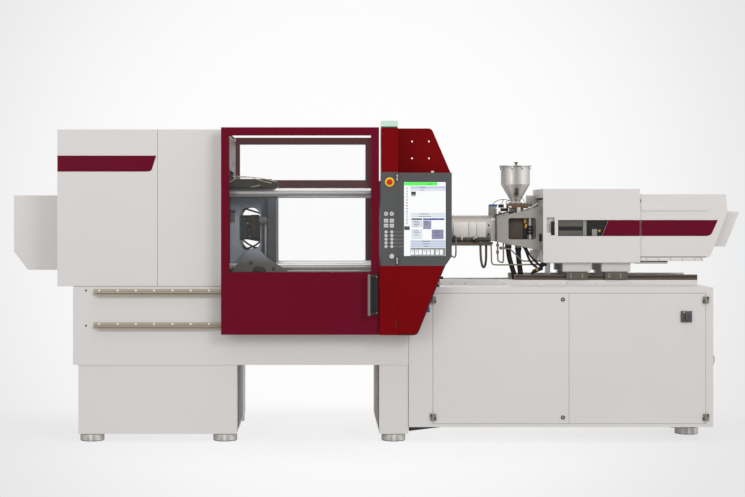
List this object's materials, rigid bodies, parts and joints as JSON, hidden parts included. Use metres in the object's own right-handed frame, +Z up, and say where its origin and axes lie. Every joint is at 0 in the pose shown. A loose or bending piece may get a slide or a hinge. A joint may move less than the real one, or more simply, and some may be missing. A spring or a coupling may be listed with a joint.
{
  "type": "injection moulding machine",
  "caption": "Electric toggle injection moulding machine with sliding guard doors, swinging display, hopper, injection carriage and control cabinet.",
  "frame": {"origin": "on the floor, under the centre of the machine's overall box", "axes": "+X from the clamp end to the injection end, +Y to the back, away from the operator, +Z up"},
  "size_m": [4.866, 1.48, 2.08],
  "materials": {
    "light_paint": "satin light grey powder coat",
    "red_paint": "satin dark red powder coat",
    "burgundy_paint": "satin burgundy powder coat",
    "grey_paint": "satin dark grey powder coat",
    "platen_paint": "grey-blue casting enamel",
    "casting_paint": "warm grey casting enamel",
    "machined_steel": "machined",
    "tie_bar_chrome": "polished",
    "stainless": "brushed",
    "rail_aluminium": "anodised",
    "handle_aluminium": "satin anodised",
    "foot_iron": "zinc grey",
    "pane": "clear polycarbonate",
    "lamp": "translucent green",
    "estop_red": "glossy",
    "start_grey": "glossy",
    "screen": "lit display glass",
    "black_plastic": "matt",
    "black_rubber": "matt",
    "grey_plastic": "matt",
    "motor_black": "black enamel",
    "cabinet_grey": "light grey powder coat"
  },
  "bodies": {
    "machine": {"machine_frame": "light_paint", "levelling_feet": "foot_iron", "clamp_rear_cover": "light_paint", "clamp_front_cover": "light_paint", "clamp_end_cover": "light_paint", "end_platen": "platen_paint", "tie_bars": "tie_bar_chrome", "fixed_platen": "platen_paint", "linear_rails": "machined_steel", "clamp_drive": "motor_black", "door_rails": "rail_aluminium", "column_covers": "red_paint", "key_panel": "grey_paint", "signal_lamp": "lamp", "guard_fin": "red_paint", "injection_bed": "light_paint", "cabinet_shell": "cabinet_grey", "drive_modules": "grey_paint"},
    "moving_platen": {"moving_platen": "platen_paint", "ejector_unit": "motor_black", "cable_tray": "machined_steel"},
    "ejector": {"ejector_rod": "machined_steel"},
    "crosshead": {"crosshead": "platen_paint", "clamp_screw": "machined_steel"},
    "rear_link_upper": {"rear_link_upper": "machined_steel"},
    "rear_link_lower": {"rear_link_lower": "machined_steel"},
    "front_link_upper": {"front_link_upper": "machined_steel"},
    "front_link_lower": {"front_link_lower": "machined_steel"},
    "crosshead_link_upper": {"crosshead_link_upper": "machined_steel"},
    "crosshead_link_lower": {"crosshead_link_lower": "machined_steel"},
    "front_door": {"front_door": "burgundy_paint", "front_door_window": "pane", "front_door_handle": "handle_aluminium"},
    "rear_door": {"rear_door": "burgundy_paint", "rear_door_window": "pane"},
    "estop_button": {"estop_button": "estop_red"},
    "start_button": {"start_button": "start_grey"},
    "display_unit": {"display_housing": "grey_paint", "display_screen": "screen", "guard_skirt": "red_paint"},
    "injection_unit": {"injection_frame": "machined_steel", "feed_casting": "casting_paint", "barrel": "machined_steel", "barrel_cover": "stainless", "injection_cover_rear": "light_paint", "hopper_base": "stainless", "hopper_body": "stainless", "coolant_hose_front": "black_rubber", "coolant_hose_rear": "black_rubber", "cable_conduit": "grey_plastic"},
    "injection_cover": {"injection_cover_front": "light_paint"},
    "screw_carriage": {"screw_drive": "casting_paint"},
    "screw": {"plasticising_screw": "machined_steel"},
    "hopper_gate": {"hopper_gate": "stainless"},
    "hopper_lid": {"hopper_lid": "stainless"},
    "cabinet_door_left": {"cabinet_door_left": "cabinet_grey"},
    "cabinet_door_right": {"cabinet_door_right": "cabinet_grey"},
    "door_lock_lower": {"door_lock_lower": "black_plastic"},
    "door_lock_upper": {"door_lock_upper": "black_plastic"},
    "main_switch_knob": {"main_switch_knob": "black_plastic"}
  },
  "joints": [
    {"name": "platen_slide", "type": "slide", "parent": "machine", "child": "moving_platen", "axis": [1, 0, 0], "range_m": [0, 0.35]},
    {"name": "rear_link_upper_pivot", "type": "hinge", "parent": "machine", "child": "rear_link_upper", "pos_m": [-1.29, 0, 1.685], "axis": [0, -1, 0], "range_deg": [0, 66.65]},
    {"name": "rear_link_lower_pivot", "type": "hinge", "parent": "machine", "child": "rear_link_lower", "pos_m": [-1.29, 0, 1.065], "axis": [0, 1, 0], "range_deg": [0, 66.65]},
    {"name": "front_link_upper_pivot", "type": "hinge", "parent": "moving_platen", "child": "front_link_upper", "pos_m": [-1.06, 0, 1.685], "axis": [0, 1, 0], "range_deg": [0, 66.65]},
    {"name": "front_link_lower_pivot", "type": "hinge", "parent": "moving_platen", "child": "front_link_lower", "pos_m": [-1.06, 0, 1.065], "axis": [0, -1, 0], "range_deg": [0, 66.65]},
    {"name": "crosshead_slide", "type": "slide", "parent": "machine", "child": "crosshead", "axis": [1, 0, 0], "range_m": [0, 0.24573]},
    {"name": "crosshead_link_upper_pivot", "type": "hinge", "parent": "crosshead", "child": "crosshead_link_upper", "pos_m": [-1.24348, 0, 1.475], "axis": [0, 1, 0], "range_deg": [0, 50.57]},
    {"name": "crosshead_link_lower_pivot", "type": "hinge", "parent": "crosshead", "child": "crosshead_link_lower", "pos_m": [-1.24348, 0, 1.275], "axis": [0, -1, 0], "range_deg": [0, 50.57]},
    {"name": "ejector_slide", "type": "slide", "parent": "moving_platen", "child": "ejector", "axis": [1, 0, 0], "range_m": [0, 0.125]},
    {"name": "front_door_slide", "type": "slide", "parent": "machine", "child": "front_door", "axis": [-1, 0, 0], "range_m": [0, 0.8]},
    {"name": "rear_door_slide", "type": "slide", "parent": "machine", "child": "rear_door", "axis": [-1, 0, 0], "range_m": [0, 0.8]},
    {"name": "estop_press", "type": "slide", "parent": "machine", "child": "estop_button", "axis": [0, 1, 0], "range_m": [0, 0.006]},
    {"name": "start_button_press", "type": "slide", "parent": "machine", "child": "start_button", "axis": [0, 1, 0], "range_m": [0, 0.004], "stiffness_N_per_m": 400},
    {"name": "display_swing", "type": "hinge", "parent": "machine", "child": "display_unit", "pos_m": [0.098, -0.702, 1.4], "axis": [0, 0, -1], "range_deg": [0, 90]},
    {"name": "injection_slide", "type": "slide", "parent": "machine", "child": "injection_unit", "axis": [-1, 0, 0], "range_m": [-0.1, 0.3]},
    {"name": "injection_cover_slide", "type": "slide", "parent": "injection_unit", "child": "injection_cover", "axis": [1, 0, 0], "range_m": [0, 0.45]},
    {"name": "screw_stroke", "type": "slide", "parent": "injection_unit", "child": "screw_carriage", "axis": [1, 0, 0], "range_m": [0, 0.18]},
    {"name": "screw_spin", "type": "hinge", "parent": "screw_carriage", "child": "screw", "pos_m": [1.4, 0, 1.375], "axis": [1, 0, 0], "continuous": true},
    {"name": "hopper_gate_slide", "type": "slide", "parent": "injection_unit", "child": "hopper_gate", "axis": [1, 0, 0], "range_m": [0, 0.062]},
    {"name": "hopper_lid_hinge", "type": "hinge", "parent": "injection_unit", "child": "hopper_lid", "pos_m": [0.945, 0.113, 1.8], "axis": [-1, 0, 0], "range_deg": [0, 100]},
    {"name": "cabinet_door_left_hinge", "type": "hinge", "parent": "machine", "child": "cabinet_door_left", "pos_m": [0.338, -0.577, 0.54], "axis": [0, 0, -1], "range_deg": [0, 90]},
    {"name": "cabinet_door_right_hinge", "type": "hinge", "parent": "machine", "child": "cabinet_door_right", "pos_m": [2.111, -0.577, 0.54], "axis": [0, 0, 1], "range_deg": [0, 110]},
    {"name": "door_lock_lower_turn", "type": "hinge", "parent": "cabinet_door_left", "child": "door_lock_lower", "pos_m": [1.183, -0.565, 0.158], "axis": [0, -1, 0], "range_deg": [0, 90]},
    {"name": "door_lock_upper_turn", "type": "hinge", "parent": "cabinet_door_left", "child": "door_lock_upper", "pos_m": [1.183, -0.565, 0.925], "axis": [0, -1, 0], "range_deg": [0, 90]},
    {"name": "main_switch_turn", "type": "hinge", "parent": "cabinet_door_right", "child": "main_switch_knob", "pos_m": [1.984, -0.575, 0.814], "axis": [0, -1, 0], "range_deg": [0, 90]}
  ],
  "couplings": [
    {"joint": "rear_link_upper_pivot", "follows": "platen_slide", "rad_per_m": 3.323},
    {"joint": "rear_link_lower_pivot", "follows": "platen_slide", "rad_per_m": 3.323},
    {"joint": "front_link_upper_pivot", "follows": "platen_slide", "rad_per_m": 3.323},
    {"joint": "front_link_lower_pivot", "follows": "platen_slide", "rad_per_m": 3.323},
    {"joint": "crosshead_slide", "follows": "platen_slide", "ratio": 0.70194},
    {"joint": "crosshead_link_upper_pivot", "follows": "platen_slide", "rad_per_m": 2.5212},
    {"joint": "crosshead_link_lower_pivot", "follows": "platen_slide", "rad_per_m": 2.5212}
  ]
}
